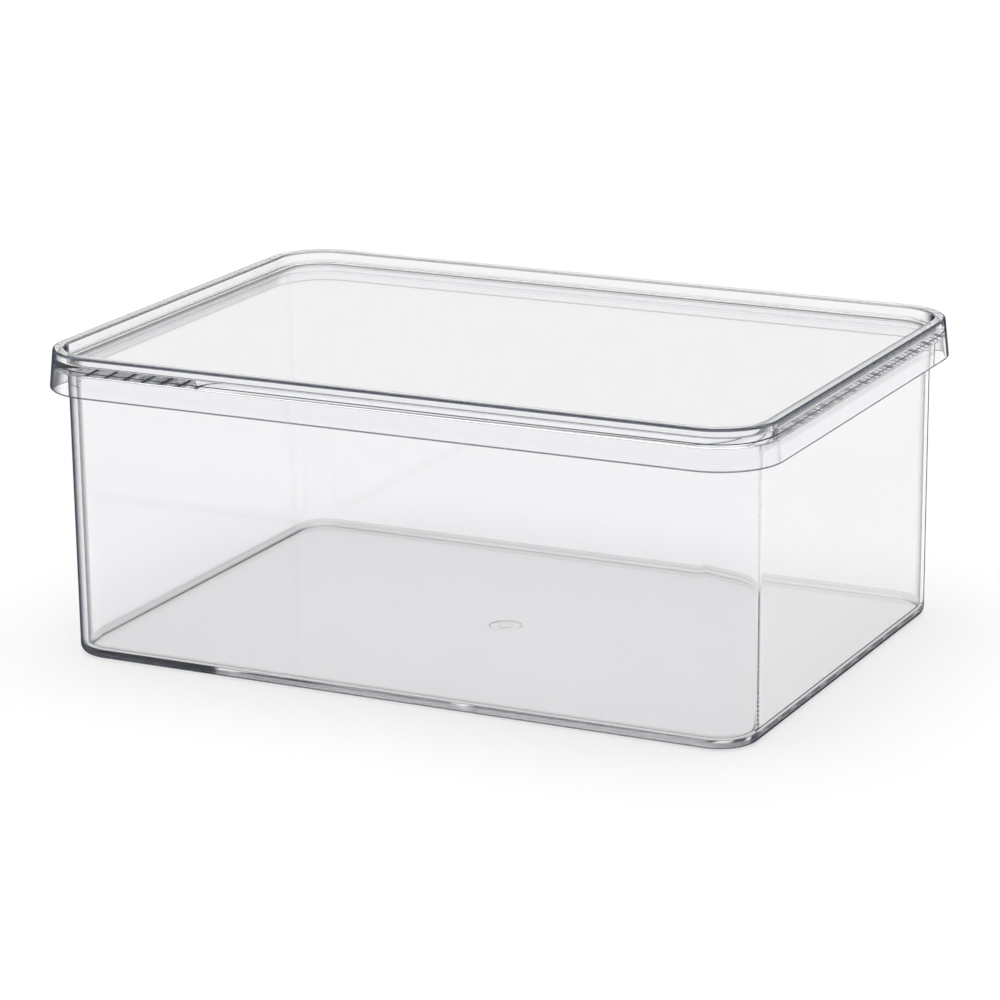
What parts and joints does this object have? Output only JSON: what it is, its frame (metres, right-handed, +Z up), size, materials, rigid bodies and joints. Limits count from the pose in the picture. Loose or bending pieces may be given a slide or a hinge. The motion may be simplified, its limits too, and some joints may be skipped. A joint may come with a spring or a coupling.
{
  "type": "clear storage box with lift-off lid",
  "caption": "Clear rectangular plastic storage box with rounded corners and a lift-off lid; the lid's raised border lets boxes stack.",
  "frame": {"origin": "centre of the underside, on the surface that the box stands on", "axes": "+X along the length, +Y along the width, +Z up towards the lid"},
  "size_m": [0.2798, 0.1984, 0.1127],
  "materials": {
    "clear_box": "clear polished injection-moulded plastic",
    "clear_lid": "clear polished injection-moulded plastic"
  },
  "bodies": {
    "box_body": {"box_body": "clear_box"},
    "lid": {"lid": "clear_lid"}
  },
  "joints": [
    {"name": "lid_lift", "type": "slide", "parent": "box_body", "child": "lid", "axis": [0, 0, 1], "range_m": [0, 0.12]}
  ]
}
